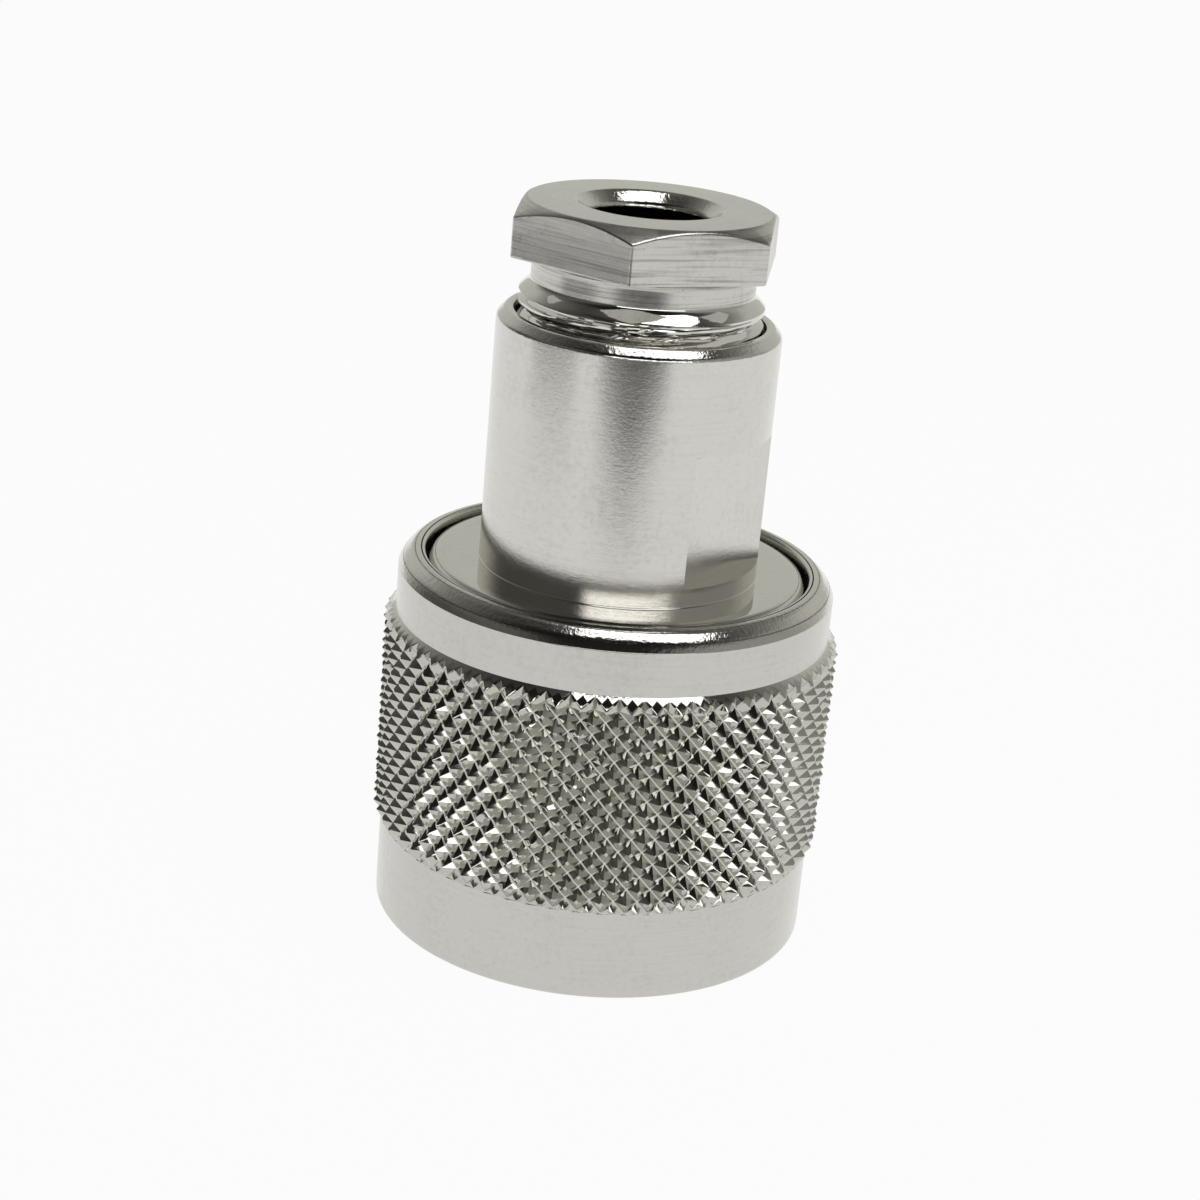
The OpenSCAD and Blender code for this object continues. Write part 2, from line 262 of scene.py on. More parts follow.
class Recipe(Nodes):
    """A material under construction."""

    def __init__(self, name: str) -> None:
        """Starts a material with one Principled shader."""
        self.material = bpy.data.materials.new(name)
        self.material.use_nodes = True
        super().__init__(self.material.node_tree)
        self.shader = self.tree.nodes["Principled BSDF"]

    def place(self) -> Socket:
        """Object coordinates, in metres."""
        return self.add("ShaderNodeTexCoord").outputs["Object"]

    def rings(self, across: float, out: float = 1.0) -> Socket:
        """Coordinates that change with radius and height and, a little, round the axis.

        Args:
            across: How much of X and Y is left, which breaks the rings up.
            out: How much of the radius is left.

        Returns:
            The vector (out times radius, across times X plus Y, height).
        """
        split = self.add("ShaderNodeSeparateXYZ", {0: self.place()})
        x, y = split.outputs["X"], split.outputs["Y"]
        square = self.math("ADD", self.math("MULTIPLY", x, x), self.math("MULTIPLY", y, y))
        radius = self.math("MULTIPLY", self.math("SQRT", square), out)
        drift = self.math("MULTIPLY", self.math("ADD", x, y), across)
        inputs = {"X": radius, "Y": drift, "Z": split.outputs["Z"]}
        return self.add("ShaderNodeCombineXYZ", inputs).outputs[0]

    def noise(self, vector: Socket, scale: float, detail: float, rough: float = 0.55) -> Socket:
        """Noise between 0 and 1, with features about 1/scale metres across."""
        inputs = {"Vector": vector, "Scale": scale, "Detail": detail, "Roughness": rough}
        return self.add("ShaderNodeTexNoise", inputs).outputs["Fac"]

    def bump(self, layers: Sequence[tuple[Socket, float]]) -> None:
        """Stacks bumps on the shader's normal.

        Args:
            layers: (height pattern, depth in mm) from coarse to fine.
        """
        normal = None
        for pattern, depth in layers:
            node = self.add("ShaderNodeBump", {"Height": pattern, "Distance": depth * MM})
            if normal is not None:
                self.tree.links.new(normal, node.inputs["Normal"])
            normal = node.outputs["Normal"]
        self.tree.links.new(normal, self.shader.inputs["Normal"])

    def set(self, **values) -> None:
        """Sets or links shader inputs by their names, with _ for a space."""
        for key, value in values.items():
            socket = self.shader.inputs[key.replace("_", " ")]
            if isinstance(value, Socket):
                self.tree.links.new(value, socket)
            else:
                socket.default_value = value


@dataclass(frozen=True)
class Plating:
    """A plated metal: colour, gloss, and the marks that turning left under it.

    Attributes:
        name: Name of the material.
        light: Colour of the clean metal.
        dull: Colour in its stains.
        gloss: Roughness at its smoothest and at its roughest.
        lines: Depth of the turned lines in mm.
        line_scale: Turned lines per metre.
        grain: Depth of the fine grain in mm.
        waves: Depth of the coarser unevenness in mm.
        streaks: How dark the turned lines are stained, from 0 to 1.
        level: Whether the lines follow the height alone, as on flat faces.
    """

    name: str
    light: tuple[float, float, float] = (0.640, 0.622, 0.585)
    dull: tuple[float, float, float] = (0.48, 0.465, 0.425)
    gloss: tuple[float, float] = (0.16, 0.24)
    lines: float = 0.0014
    line_scale: float = 9000.0
    grain: float = 0.0034
    waves: float = 0.0030
    streaks: float = 0.10
    level: bool = False

    def build(self) -> Material:
        """Builds the node material."""
        recipe = Recipe(self.name)
        place = recipe.place()
        rings = recipe.rings(0.02, 0.0 if self.level else 1.0)
        cloud = recipe.noise(place, CLOUDS, 3)
        stain = recipe.noise(place, STAINS, 4, 0.7)
        line = recipe.noise(rings, self.line_scale, 2, 0.6)
        grain = recipe.noise(place, GRAINS, 2, 0.6)
        wave = recipe.noise(place, WAVES, 2, 0.5)
        speck = recipe.spread(recipe.noise(place, SPECKS, 1, 0.5), 0.70, 0.80, 0.0, 1.0)
        broad = recipe.math("MULTIPLY", cloud, 0.35)
        mottle = recipe.math("ADD", broad, recipe.math("MULTIPLY", stain, 0.65))
        patches = recipe.spread(mottle, 0.5, 0.75, 0.0, 0.4)
        marks = recipe.math("ADD", patches, recipe.math("MULTIPLY", speck, 0.5))
        streaks = recipe.spread(line, 0.48, 0.66, 0.0, self.streaks)
        stained = recipe.math("ADD", marks, streaks)
        recipe.set(
            Metallic=1.0,
            Base_Color=recipe.blend(stained, (*self.light, 1.0), (*self.dull, 1.0)),
            Roughness=recipe.spread(mottle, 0.3, 0.7, *self.gloss),
        )
        recipe.bump([(wave, self.waves), (line, self.lines), (grain, self.grain)])
        return recipe.material


@dataclass(frozen=True)
class Moulded:
    """A plastic or rubber, with mould grain and a little mottling.

    Attributes:
        name: Name of the material.
        light: Its colour.
        dark: Its colour in the darker mottles.
        roughness: Roughness of the surface.
        grain: Depth of the grain in mm.
        scale: Grains per metre.
        clear: How much light passes into it, as subsurface weight.
    """

    name: str
    light: tuple[float, float, float]
    dark: tuple[float, float, float]
    roughness: float
    grain: float
    scale: float
    clear: float = 0.0

    def build(self) -> Material:
        """Builds the node material."""
        recipe = Recipe(self.name)
        place = recipe.place()
        grain = recipe.noise(place, self.scale, 3, 0.6)
        cloud = recipe.noise(place, MOTTLES, 2)
        line = recipe.noise(recipe.rings(0.03), LINES, 2)
        shade = recipe.spread(cloud, 0.3, 0.7, 0.0, 1.0)
        low, high = self.roughness - 0.06, self.roughness + 0.06
        recipe.set(
            Base_Color=recipe.blend(shade, (*self.light, 1.0), (*self.dark, 1.0)),
            Roughness=recipe.spread(grain, 0.3, 0.7, low, high),
            Subsurface_Weight=self.clear,
            Subsurface_Scale=LIGHT_DEPTH,
        )
        recipe.bump([(line, self.grain * 0.6), (grain, self.grain)])
        return recipe.material


def built(kind: type[Plating] | type[Moulded], name: str, **values) -> Material:
    """A field of Finishes that starts as a new material.

    Args:
        kind: What the surface is.
        name: Name of the material.
        **values: Its other attributes.
    """
    return field(default_factory=kind(name, **values).build)


@dataclass
class Finishes:
    """Every finish on the plug, built once."""

    nickel: Material = built(Plating, "satin_nickel")
    nut: Material = built(
        Plating, "nut_nickel", light=(0.575, 0.558, 0.522), dull=(0.43, 0.415, 0.38),
        lines=0.0020,
    )
    # Darker copy of the nickel for the knurl's pyramids: painted shade
    knurled: Material = built(
        Plating, "knurled_nickel", light=(0.515, 0.505, 0.458), dull=(0.300, 0.295, 0.257),
        gloss=(0.06, 0.14), lines=0.0, grain=0.0003, waves=0.0008, streaks=0.0,
    )
    # Glossier, lighter nickel; in the knurl's grooves its lighter colour is a painted highlight
    bright: Material = built(
        Plating, "bright_nickel", light=(0.655, 0.64, 0.605), gloss=(0.04, 0.09), lines=0.0003,
        line_scale=7000.0, grain=0.0008, waves=0.0009, streaks=0.05,
    )
    edge: Material = built(
        Plating, "rounded_edge_nickel", gloss=(0.06, 0.13), lines=0.0006, grain=0.0045,
        waves=0.0110, streaks=0.05,
    )
    drawn: Material = built(
        Plating, "drawn_nickel", light=(0.585, 0.568, 0.532), dull=(0.33, 0.32, 0.29),
        gloss=(0.20, 0.30), lines=0.004, line_scale=6400.0, grain=0.0010,
        waves=0.0008, streaks=0.8, level=True,
    )
    spring_bronze: Material = built(
        Plating, "spring_bronze", light=(0.62, 0.44, 0.27), dull=(0.42, 0.28, 0.16),
        gloss=(0.28, 0.42), grain=0.001,
    )
    white_bronze: Material = built(
        Plating, "white_bronze", light=(0.70, 0.69, 0.66), dull=(0.55, 0.54, 0.50),
        gloss=(0.14, 0.24), grain=0.0006, waves=0.0004,
    )
    gold_plate: Material = built(
        Plating, "gold_plate", light=(0.86, 0.60, 0.25), dull=(0.70, 0.46, 0.17),
        gloss=(0.12, 0.20), grain=0.0005, waves=0.0004,
    )
    ptfe: Material = built(
        Moulded, "white_ptfe", light=(0.80, 0.80, 0.78), dark=(0.74, 0.74, 0.72),
        roughness=0.42, grain=0.002, scale=5000.0, clear=0.25,
    )
    silicone: Material = built(
        Moulded, "red_silicone", light=(0.42, 0.12, 0.07), dark=(0.33, 0.085, 0.05),
        roughness=0.5, grain=0.003, scale=7000.0, clear=0.05,
    )
    black_rubber: Material = built(
        Moulded, "black_rubber", light=(0.030, 0.030, 0.031), dark=(0.020, 0.020, 0.021),
        roughness=0.62, grain=0.004, scale=8000.0,
    )


def dress(obj: Object, *materials: Material) -> Object:
    """Gives a piece its materials, in slot order."""
    obj.data.materials.clear()
    for material in materials:
        obj.data.materials.append(material)
    return obj


def paint_rows(obj: Object, rule: Callable[[Array, Array], Array]) -> None:
    """Picks each face's material from its centre.

    Args:
        obj: The piece.
        rule: Maps arrays of radius and height in mm to material indices.
    """
    mesh = obj.data
    centre = np.empty(len(mesh.polygons) * 3, np.float32)
    mesh.polygons.foreach_get("center", centre)
    centre = centre.reshape(-1, 3) / MM
    index = rule(np.hypot(centre[:, 0], centre[:, 1]), centre[:, 2])
    mesh.polygons.foreach_set("material_index", index.astype(np.int32))


def mount(obj: Object, body: str, replaced: str) -> None:
    """Makes a piece ride on its body, and logs it.

    Args:
        obj: The finished piece.
        body: Name of the body that it moves with.
        replaced: Solid that the piece stands for.
    """
    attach(obj, body)
    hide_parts(replaced)
    log.info("%s: %d faces, rides on %s", obj.name, len(obj.data.polygons), body)


# ---- coupling nut


@dataclass
class Knurl:
    """A diamond knurl of small pyramids on a band, in mm.

    Attributes:
        low: Height where the band starts.
        rows: Half diamonds along the axis.
        count: Grooves of each hand round the band.
        pitch: Height of a diamond.
        crest: Radius of the tips.
        groove: Radius of the groove bottoms.
        front: Radius that the front bevel starts from.
        rear: Radius that the rear bevel starts from.
        samples: Points across a diamond.
        land: Half width of the falling grooves' flat bottoms, as a share of a diamond.
        crossing: Half width of the level place where grooves cross, as such a share.
        saddle: Rise of the falling grooves' bottoms between two crossings, as a share
            of the full depth.
        shallow: Depth that the rising grooves lack, as a share of the full depth.
        blunt: Share of the pyramids with a blunt, square tip.
        lean: Spread of the pyramids' steepness.
        run_out: How far under the upper end the groove bottoms start to rise and have
            risen, and by how much.
        front_slope: Growth in radius over height on the front bevel.
        rear_slope: Fall in radius over height on the rear bevel.
        seed: Seed of the small differences between pyramids.
    """

    low: float
    rows: int
    count: int
    pitch: float
    crest: float
    groove: float
    front: float
    rear: float
    samples: int = 6
    land: float = 0.045
    crossing: float = 0.12
    saddle: float = 0.11
    shallow: float = 0.06
    blunt: float = 0.35
    lean: float = 0.05
    run_out: tuple[float, float, float] = (0.75, 0.32, 0.21)
    front_slope: float = 1.3
    rear_slope: float = 1.08
    seed: int = 11

    @property
    def columns(self) -> int:
        """Points round the band."""
        return self.count * self.samples

    @property
    def top(self) -> float:
        """Height where the band ends."""
        return self.low + self.pitch * self.rows / 2

    def steps(self) -> Array:
        """Places of the sample lines across one diamond, mirrored about its middle."""
        return np.array([0.0, self.land, 0.41, 0.5, 0.59, 1 - self.land])

    def rise(self, place: Array, land: float) -> Array:
        """Share of the full depth: 0 on a groove's flat, 1 midway between two grooves."""
        part = np.mod(place, 1.0)
        away = np.minimum(part, 1 - part)
        return np.clip((away - land) / (0.5 - land), 0.0, 1.0)

    def lattice(self) -> tuple[Array, Array, Array, Array]:
        """Oblique coordinates of the vertices.

        u grows upwards and round, v grows downwards and round; both are whole
        numbers in the grooves. Row q holds the points with u's index q ahead of v's.

        Returns:
            u, v, and the index of each vertex's diamond along and round the band.
        """
        k, step = self.samples, self.steps()
        j = np.arange(self.columns)[None, :]
        i = j + np.arange(self.rows * k + 1)[:, None]
        u = i // k + step[i % k]
        v = np.broadcast_to(j // k + step[j % k], i.shape)
        return u, v, i // k - j // k, np.broadcast_to(j // k, i.shape)

    def angles(self, row: int) -> Array:
        """Angles of the vertices of one row, in radians."""
        u, v, _, _ = self.lattice()
        return math.pi * (u[row] + v[row]) / self.count

    def points(self) -> Array:
        """Vertices of the band.

        The radius is the groove's plus the depth times the smaller of the two
        rises, one from each hand of grooves, and no more than the pyramid's tip.
        The grooves run out towards the upper end, and both ends of the band are
        cut off by a bevel.
        """
        u, v, along, around = self.lattice()
        rng = np.random.default_rng(self.seed)
        shape = (self.rows + 2, self.count)
        draw = rng.uniform(0.0, 1.0, shape)
        # Blunt tips reach 0.78 to 0.84 of the depth, and sharp ones 0.96 to 0.99
        tip = np.where(draw < self.blunt, 0.78 + 0.16 * draw, 1 - 0.04 * draw)[along, around]
        lean = rng.normal(0, self.lean, (2, *shape))[:, along, around]
        bottom = self.saddle * self.rise(v, self.crossing)
        left = np.maximum(self.rise(u, self.land) * (1 + lean[0]), bottom)
        right = self.shallow + (1 - self.shallow) * self.rise(v, 0.0) * (1 + lean[1])
        depth = self.crest - self.groove
        radius = self.groove + depth * np.minimum(np.minimum(left, right), tip)
        height = self.low + self.pitch * (u - v) / 2
        start, end, lift = self.run_out
        run = smooth_step(height, self.top - start, self.top - end)
        radius = np.maximum(radius, self.groove + lift * run)
        radius = np.minimum(radius, self.rear + (self.top - height) * self.rear_slope)
        radius = np.minimum(radius, self.front + (height - self.low) * self.front_slope)
        return turned(radius, height, math.pi * (u + v) / self.count)

    def faces(self) -> Array:
        """Triangles of the band.

        Each cell between two sample lines of either hand is split along its level
        diagonal, except the cells that the pyramids' upright ridges cross, which are
        split along the ridge.
        """
        k, rows, columns = self.samples, self.rows * self.samples, self.columns
        index = np.arange((rows + 1) * columns).reshape(rows + 1, columns)
        after = np.roll(index, -1, axis=1)
        q = np.arange(1, rows)[:, None]
        j = np.arange(columns)[None, :]
        left, right, upper, lower = index[1:-1], after[1:-1], index[2:], after[:-2]
        ridge = ((j + q) % k + j % k == k - 1)[..., None]
        level = np.stack([left, right, upper, left, lower, right], axis=-1)
        upright = np.stack([left, lower, upper, lower, right, upper], axis=-1)
        cells = np.where(ridge, upright, level).reshape(-1, 3)
        first = np.stack([index[0], after[0], index[1]], axis=-1)
        last = np.stack([index[-1], after[-2], after[-1]], axis=-1)
        return np.concatenate([cells, first, last])


@dataclass
class CouplingNut:
    """The knurled nut that screws on to the mating socket.

    Attributes:
        length: Length of the nut in mm.
        knurl: Its knurled band.
        front_r: Radius of the plain band in front of the knurl.
        rear_r: Radius of the plain band behind it.
        mouth_r: Radius of the rear opening.
        outer_r: Radius that everything outside lies beyond.
        arris: Height of the edge where the crowned rear rim starts.
        pitch: Pitch of the coupling thread.
        crest: Radius of its crests.
        root: Radius of its roots.
        back: Radius of the plain back of its ring.
        thread: Heights where it starts and ends.
        thread_rows: Rows of points to a pitch.
        thread_columns: Points round it.
    """

    length: float = 17.25
    arris: float = 16.45
    knurl: Knurl = field(
        default_factory=lambda: Knurl(
            low=4.25, rows=17, count=60, pitch=1.2,
            crest=10.5, groove=10.07, front=10.11, rear=9.96,
        )
    )
    front_r: float = 10.10
    rear_r: float = 9.95
    mouth_r: float = 8.75
    outer_r: float = 9.5
    pitch: float = 1.058
    crest: float = 7.45
    root: float = 7.98
    back: float = 8.2
    thread: tuple[float, float] = (0.75, 8.3)
    thread_rows: int = 14
    thread_columns: int = 160

    def plain_outline(self) -> Array:
        """Outline from the knurl's top end, over the rim and down the bore, to its foot."""
        top, foot = self.knurl.top, self.knurl.low
        rear, mouth, front = self.rear_r, self.mouth_r, self.front_r
        corners = [
            (rear, top - 2, 0),
            (rear, self.arris, 0.03),
            (rear - 0.14, self.arris + 0.25, 0.12),
            (9.68, 16.87, 0.09), (9.36, 17.17, 0.11),
            (9.10, self.length, 0.13), (mouth + 0.02, self.length, 0.16),
            (mouth, RING_HIGH, 0.05), (9.2, RING_HIGH, 0.03),
            (9.2, RING_LOW, 0.03), (mouth, RING_LOW, 0.05),
            (mouth, 12.1, 0.1), (8.05, 12.1, 0.05),
            (8.05, 0.35, 0.05), (8.4, 0.0, 0.08),
            (front, 0.0, 0.3),
            (front, foot - 0.15, 0.0), (front, foot, 0.0),
            (9.0, foot, 0.0),
        ]
        line = profile(corners, steps=6)
        start = int(np.argmax(line[:, 1] > top))
        line = np.concatenate([[[rear, top + 0.01], [rear, top + 0.06]], line[start:]])
        low, height = foot - 0.045, line[:, 1]
        band = (line[:, 0] > front - 0.01) & (height > low) & (height < low + 1)
        return line[: int(np.flatnonzero(band)[0]) + 1]

    def build_shell(self) -> Object:
        """Builds the whole nut as one closed skin.

        The knurl's rows come first. The rows of the plain outline follow, turning
        back by half a diamond down the bore, so that the last row's points stand
        under those of the knurl's first row.
        """
        knurl, outline = self.knurl, self.plain_outline()
        shift = knurl.samples * (knurl.rows // 2)
        half = math.pi / knurl.count
        turn = half * smooth_step(-outline[:, 1:], -12.0, -1.0)
        # Each plain band outside keeps the angle of the knurl's end beside it
        outer, middle = outline[:, 0] > self.outer_r, 9.0
        turn[outer] = np.where(outline[outer, 1:] > middle, 0.0, half)
        angle = knurl.angles(-1)[None, :] - turn
        plain = turned(outline[:, :1], outline[:, 1:], angle)
        band = knurl.points()
        columns, first = knurl.columns, band.shape[0] * knurl.columns
        top = np.arange(first - columns, first)
        rise = first + np.arange(columns)
        last = first + (len(outline) - 1) * columns + np.arange(columns)
        foot = np.roll(np.arange(columns), -shift)

        def strip(a: Array, b: Array) -> Array:
            """Quads between two rows of vertices."""
            return np.stack([a, np.roll(a, -1), np.roll(b, -1), b], axis=-1)

        faces = [
            knurl.faces(),
            ring_quads(len(outline), columns, first, closed=False),
            strip(top, rise),
            strip(last, foot),
        ]
        points = np.concatenate([band.reshape(-1, 3), plain.reshape(-1, 3)])
        return mesh_piece("coupling_nut_shell", points, faces, sharp=28)

    def build_thread(self) -> Object:
        """Builds the thread inside the nut's front end as a closed ring.

        The threaded side comes first, from the top down. The thread fades in over
        three quarters of a pitch at its lower end, and out over half a pitch above.
        """
        low, high = self.thread
        count = int(round((high - low) / self.pitch * self.thread_rows))
        height = np.linspace(low, high, count)[::-1, None]
        angle = np.linspace(0, 2 * math.pi, self.thread_columns, endpoint=False)[None, :]
        fade_in = smooth_step(height, low, low + 0.75 * self.pitch)
        fade = fade_in * (1 - smooth_step(height, high - 0.5 * self.pitch, high))
        depth = thread_depth(height, angle, self.pitch) * fade
        wall = turned(self.root + (self.crest - self.root) * depth, height, angle)
        back = turned(self.back, np.array([[low], [high]]), angle)
        points = np.concatenate([wall, back])
        faces = ring_quads(len(points), self.thread_columns)
        return mesh_piece("coupling_thread", points, [faces], sharp=40)

    def finish_at(self, r: Array, z: Array) -> Array:
        """Finish of each face: 1 on the pyramids, 2 on the rear rim, 3 in the grooves. The
        pyramids' darker nickel is painted shade, and the grooves' lighter, glossier nickel is
        partly a painted highlight.
        """
        knurl = self.knurl
        band = (r > self.outer_r) & (z > knurl.low) & (z < knurl.top)
        raised = r > knurl.groove + 0.008
        # The pyramids get painted shade; the groove bottoms get a painted highlight that is
        # also glossier
        return np.select([band & raised, z > self.arris + 0.02, band], [1, 2, 3], 0)

    def dress(self, finishes: Finishes) -> None:
        """Builds and finishes the nut's pieces."""
        shell = dress(
            self.build_shell(), finishes.nut, finishes.knurled, finishes.edge, finishes.bright
        )
        paint_rows(shell, self.finish_at)
        mount(shell, "coupling_nut", "coupling_nut")
        thread = dress(self.build_thread(), finishes.bright)
        mount(thread, "coupling_nut", "coupling_nut")


# ---- body


@dataclass
class PlugBody:
    """The turned body: neck, flange and barrel with two wrench flats.

    Attributes:
        barrel_r: Radius of the barrel in mm.
        barrel_top: Height of its rear face.
        flange_top: Height of the flange's rear face.
        flat_x: Distance of each wrench flat from the axis.
        flat_low: Height where the flats start.
        flat_high: Height where they end.
        outer_r: Radius that everything outside lies beyond.
    """

    barrel_r: float = 6.335
    barrel_top: float = 28.6
    flange_top: float = 17.1
    flat_x: float = 5.5
    flat_low: float = 17.95
    flat_high: float = 23.9
    outer_r: float = 6.0

    def columns(self) -> Array:
        """Angles of the columns, with one on each edge of the wrench flats."""
        edge = math.acos(self.flat_x / self.barrel_r)
        narrow = np.linspace(-edge, edge, 24, endpoint=False)
        wide = np.linspace(edge, math.pi - edge, 64, endpoint=False)
        return np.concatenate([narrow, wide, narrow + math.pi, wide + math.pi])

    def outline(self) -> Array:
        """Outline of the body, with two close rows at each end of the flats."""
        r, ledge, ends = self.barrel_r, 0.012, (self.flat_low, self.flat_high)
        corners = [
            (4.08, 10.3, 0.1), (7.3, 10.3, 0.12),
            (7.3, 12.4, 0.05), (8.6, 12.4, 0.1),
            (8.6, RING_LOW, 0.05), (7.77, RING_LOW, 0.03),
            (7.77, RING_HIGH, 0.03), (8.6, RING_HIGH, 0.05),
            (8.6, 16.78, 0.04), (8.42, 17.01, 0.08),
            (8.2, self.flange_top - 0.015, 0.10), (7.85, self.flange_top, 0.14),
            (r, self.flange_top, 0.05),
            *((r, z + side, 0.0) for z in ends for side in (-ledge, ledge)),
            (r, self.barrel_top - 0.40, 0.12),
            (r - 0.38, self.barrel_top, 0.12), (5.58, self.barrel_top, 0.12),
            (5.50, 24.6, 0.0), (4.9, 24.3, 0.0),
            (4.7, 13.0, 0.05), (4.08, 13.0, 0.05),
        ]
        return profile(corners, steps=6)

    def build_shell(self) -> Object:
        """Builds the body, a surface of revolution.

        Its barrel's rows between the flats' ends are cut off at the flats' planes.
        """
        line, angle = self.outline(), self.columns()[None, :]
        radius = np.broadcast_to(line[:, :1], (len(line), angle.shape[1])).copy()
        reach = self.flat_x / np.maximum(np.abs(np.cos(angle)), 1e-3)
        between = (line[:, 1] > self.flat_low) & (line[:, 1] < self.flat_high)
        flat = between & (line[:, 0] > self.outer_r)
        radius[flat] = np.minimum(radius[flat], np.broadcast_to(reach, radius.shape)[flat])
        points = turned(radius, line[:, 1:], angle)
        return mesh_piece("body_shell", points, [ring_quads(*radius.shape)], sharp=24)

    def finish_at(self, r: Array, z: Array) -> Array:
        """Finish of each face: 1 on the flange's rear, 2 on the barrel's rear rim."""
        outside = r > self.outer_r
        flange = outside & (z > self.flange_top - 0.7) & (z < self.flange_top + 0.04)
        rim = (r > 5.7) & (z > self.barrel_top - 0.5)
        return np.select([rim, flange], [2, 1], 0)

    def dress(self, finishes: Finishes) -> None:
        """Builds and finishes the body's piece."""
        shell = dress(self.build_shell(), finishes.nickel, finishes.bright, finishes.edge)
        paint_rows(shell, self.finish_at)
        mount(shell, "body", "body")


# ---- clamp nut


@dataclass
class ClampNut:
    """The hollow hexagon screw that grips the cable.

    Attributes:
        across: Distance across the flats in mm.
        turn: Angle of one corner about the axis in degrees.
        under: Height of the hexagon's underside.
        top: Height of its top face.
        face_r: Radius of the flat top inside the 30 degree chamfer.
        corner: Radius of the rounded upright edges.
        bore: Radius of the cable's hole.
        thread: Heights where the thread starts, is full, starts to fade and ends.
        thread_rows: Rows of points on it.
        crest: Radius of its crests.
        groove: Depth of its groove.
        pitch: Its pitch.
    """

    across: float = 11.0
    turn: float = -3.0
    under: float = 31.15
    top: float = 33.5
    face_r: float = 5.35
    corner: float = 0.16
    bore: float = 2.7
    thread: tuple[float, float, float, float] = (26.85, 27.3, 29.2, 29.45)
    thread_rows: int = 54
    crest: float = 5.44
    groove: float = 0.40
    pitch: float = 0.75

    def hexagon(self) -> tuple[Array, Array]:
        """Outline of the hexagon.

        Each corner is an arc of the corner radius about a point on a hexagon
        smaller by that radius, and each side is cut into even steps.

        Returns:
            Radius and angle of the outline's points.
        """
        inner = (self.across / 2 - self.corner) / math.cos(math.pi / 6)
        corner = math.radians(self.turn) + np.arange(6)[:, None] * math.pi / 3
        sweep = corner + np.linspace(-math.pi / 6, math.pi / 6, 7)[None, :]
        arc = (turned(inner, 0.0, corner) + turned(self.corner, 0.0, sweep))[..., :2]
        start, end = arc[:, -1], np.roll(arc[:, 0], -1, axis=0)
        t = np.linspace(0, 1, 20)[1:-1][None, :, None]
        side = start[:, None] * (1 - t) + end[:, None] * t
        points = np.concatenate([arc, side], axis=1).reshape(-1, 2)
        x, y = points[:, 0], points[:, 1]
        return np.hypot(x, y), np.unwrap(np.arctan2(y, x))

    def build_shell(self) -> Object:
        """Builds the nut: stem, helical thread, hollow neck and hexagon.

        The hexagon's top edge falls away at 30 degrees from the round face.
        """
        reach, angle = self.hexagon()
        wide = np.ones_like(reach)[None, :]

        def level(rows: Sequence[tuple[float, float]]) -> tuple[Array, Array]:
            """Round rows of (radius, height)."""
            data = np.asarray(rows, float)
            return data[:, :1] * wide, data[:, 1:] * wide

        start, full, wane, end = self.thread
        thread_z = np.linspace(start, end, self.thread_rows)[:, None] * wide
        fade = smooth_step(thread_z, start, full) * (1 - smooth_step(thread_z, wane, end))
        depth = thread_depth(thread_z, angle[None, :], self.pitch)
        thread_r = self.crest - self.groove * (1 - depth) * fade
        stem = level(
            [(2.92, 25.45), (4.45, 25.45), (4.6, 25.6), (4.6, 26.65), (4.95, 26.7),
             (5.35, 26.8)]
        )
        neck = level(
            [(5.40, 29.50), (5.30, 29.60), (5.12, 29.78), (4.99, 29.92), (4.95, 30.02),
             (4.95, 30.08), (4.95, 30.74), (4.95, 30.80), (4.97, 30.92), (5.04, 31.03),
             (5.14, 31.10), (5.28, 31.145)]
        )
        fall = math.tan(math.radians(30))
        rim = self.top - np.maximum(reach - self.face_r, 0.0) * fall
        inset = np.array([0.10, 0.03, 0.0, 0.0, 0.0, 0.008, 0.04, 0.11])[:, None]
        lift = np.array([0.0, 0.02, 0.08, 0.14])[:, None]
        slope = np.array([-0.13, -0.05, 0.005, 0.11 * fall])[:, None]
        flank = reach - inset, np.concatenate([(self.under + lift) * wide, rim + slope])
        mouth = [(0.66, 0.0), (0.60, 0.0), (0.53, 0.02), (0.47, 0.06), (0.42, 0.11),
                 (0.10, 0.43), (0.06, 0.48), (0.02, 0.56), (0.0, 0.64), (0.0, 0.72)]
        face = level(
            [(self.face_r - 0.02, self.top - 0.005), (self.face_r - 0.10, self.top)]
            + [(self.bore + out, self.top - down) for out, down in mouth]
            + [(self.bore, 25.75), (self.bore, 25.65), (self.bore + 0.06, 25.52)]
        )
        parts = [stem, (thread_r, thread_z), neck, flank, face]
        radius = np.concatenate([part[0] for part in parts])
        height = np.concatenate([part[1] for part in parts])
        points = turned(radius, height, angle[None, :])
        return mesh_piece("clamp_nut_shell", points, [ring_quads(*radius.shape)], sharp=24)

    def finish_at(self, r: Array, z: Array) -> Array:
        """Finish of each face: 1 on stem and thread, 2 on the top, 3 in the bore's mouth."""
        mouth = (z > self.top - 0.7) & (r < self.bore + 0.6)
        face = (z > self.top - 0.1) & (r < self.face_r)
        return np.select([z < 30.05, mouth, face], [1, 3, 2], 0)

    def dress(self, finishes: Finishes) -> None:
        """Builds and finishes the nut."""
        shell = dress(
            self.build_shell(), finishes.drawn, finishes.bright, finishes.nickel, finishes.edge
        )
        paint_rows(shell, self.finish_at)
        mount(shell, "clamp_nut", "clamp_nut")


# ---- gasket


